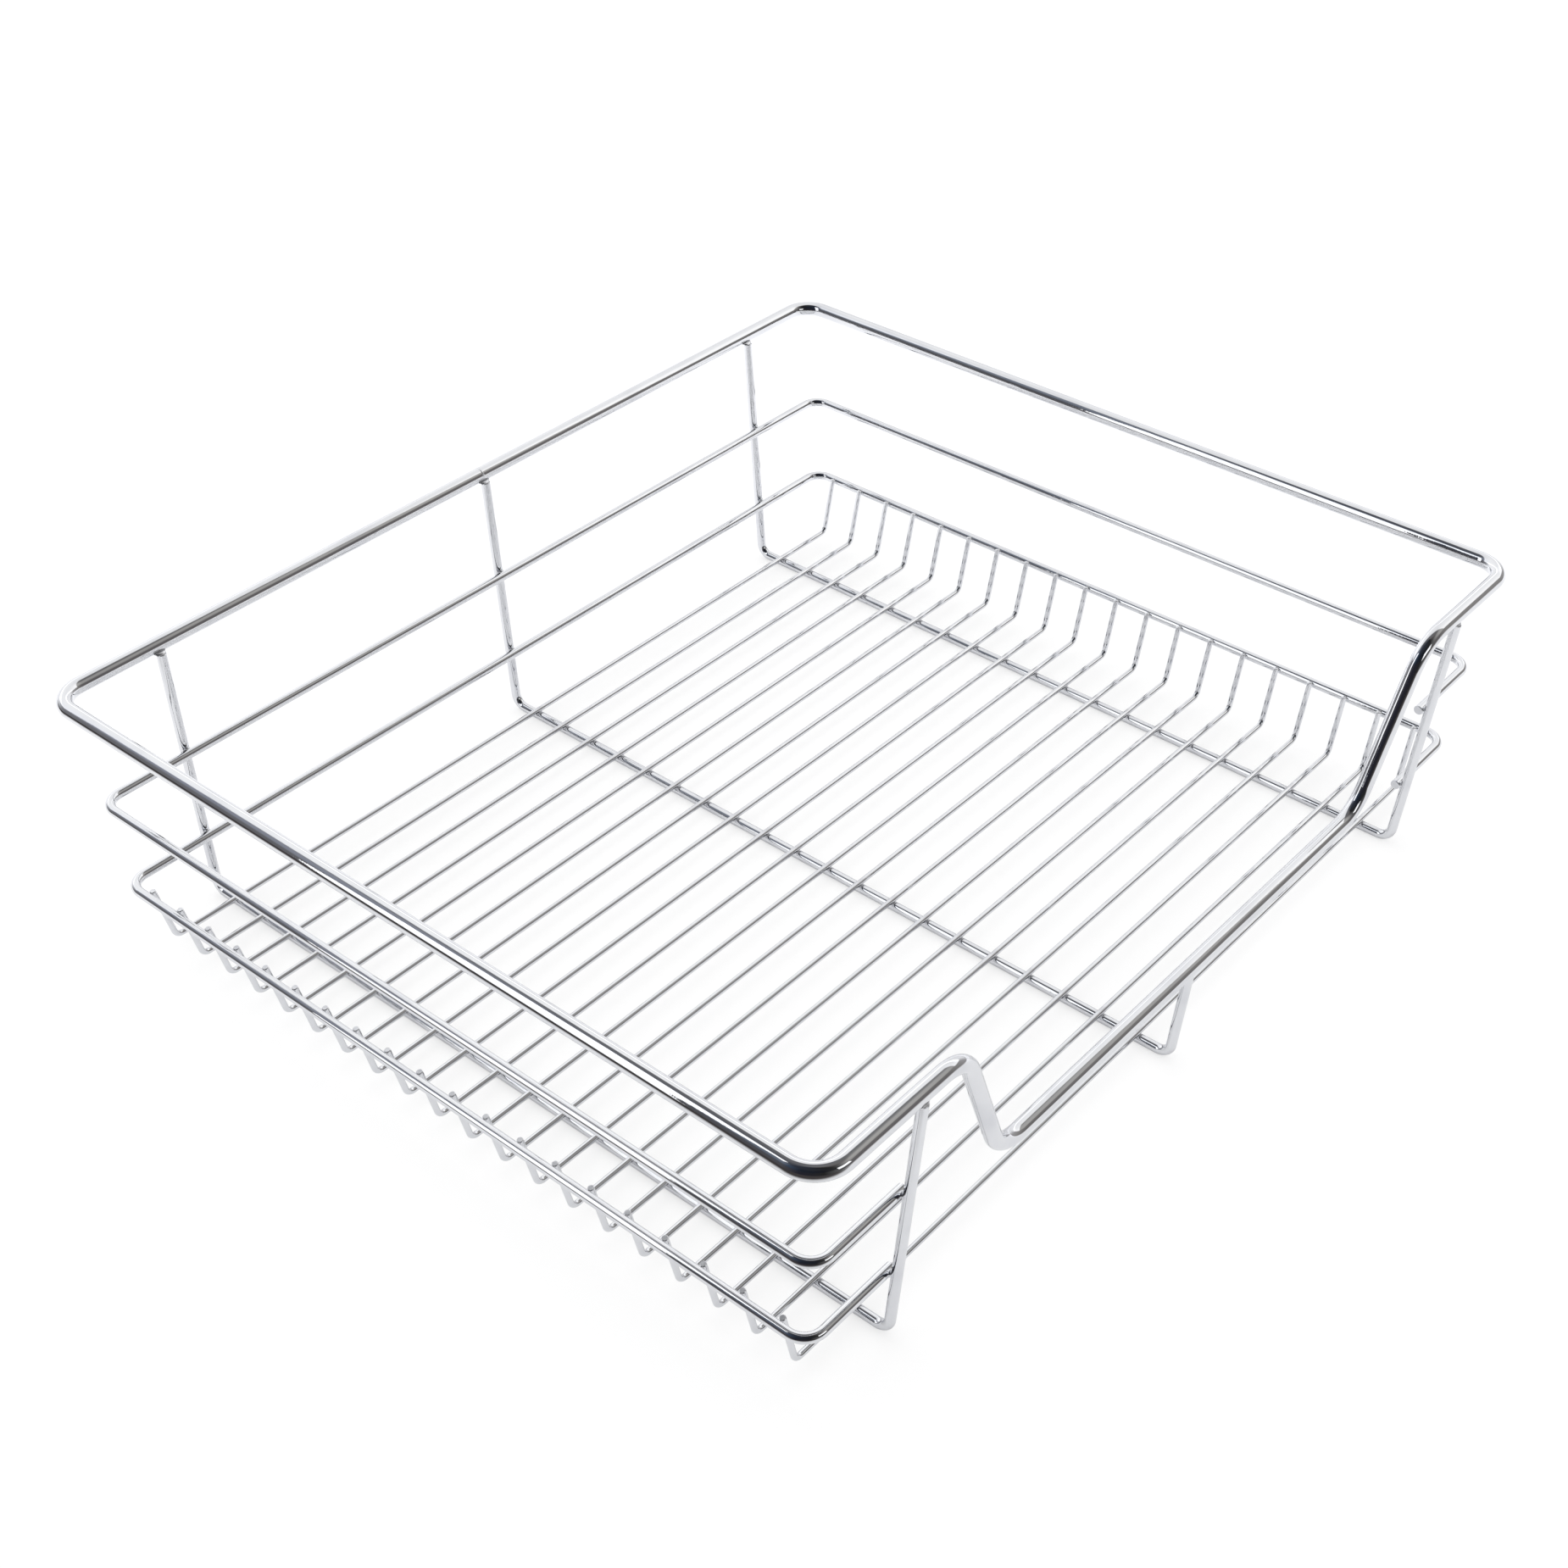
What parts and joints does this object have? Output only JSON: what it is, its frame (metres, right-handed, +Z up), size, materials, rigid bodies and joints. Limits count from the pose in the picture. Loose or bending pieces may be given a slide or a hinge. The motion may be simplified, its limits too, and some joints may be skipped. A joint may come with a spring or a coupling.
{
  "type": "pull out cabinet basket",
  "caption": "Open welded wire basket for a cabinet, with a thick top rim that dips at the front, two side hoops and a floor of thin cross wires on U-shaped ribs.",
  "frame": {"origin": "middle of the outer box, on the floor plane that the ribs stand on", "axes": "+X to the right seen from the front, -Y the front where the rim dips and the basket is pulled out, +Z up"},
  "size_m": [0.548, 0.4666, 0.148],
  "materials": {
    "rim_chrome": "polished",
    "frame_chrome": "polished",
    "base_chrome": "polished"
  },
  "bodies": {
    "root": {"rim": "rim_chrome", "middle_hoop": "frame_chrome", "lower_hoop": "frame_chrome", "left_rib": "frame_chrome", "centre_rib": "frame_chrome", "right_rib": "frame_chrome", "base_wire_01": "base_chrome", "base_wire_02": "base_chrome", "base_wire_03": "base_chrome", "base_wire_04": "base_chrome", "base_wire_05": "base_chrome", "base_wire_06": "base_chrome", "base_wire_07": "base_chrome", "base_wire_08": "base_chrome", "base_wire_09": "base_chrome", "base_wire_10": "base_chrome", "base_wire_11": "base_chrome", "base_wire_12": "base_chrome", "base_wire_13": "base_chrome", "base_wire_14": "base_chrome", "base_wire_15": "base_chrome", "base_wire_16": "base_chrome", "base_wire_17": "base_chrome", "base_wire_18": "base_chrome", "base_wire_19": "base_chrome", "base_wire_20": "base_chrome"}
  },
  "joints": []
}
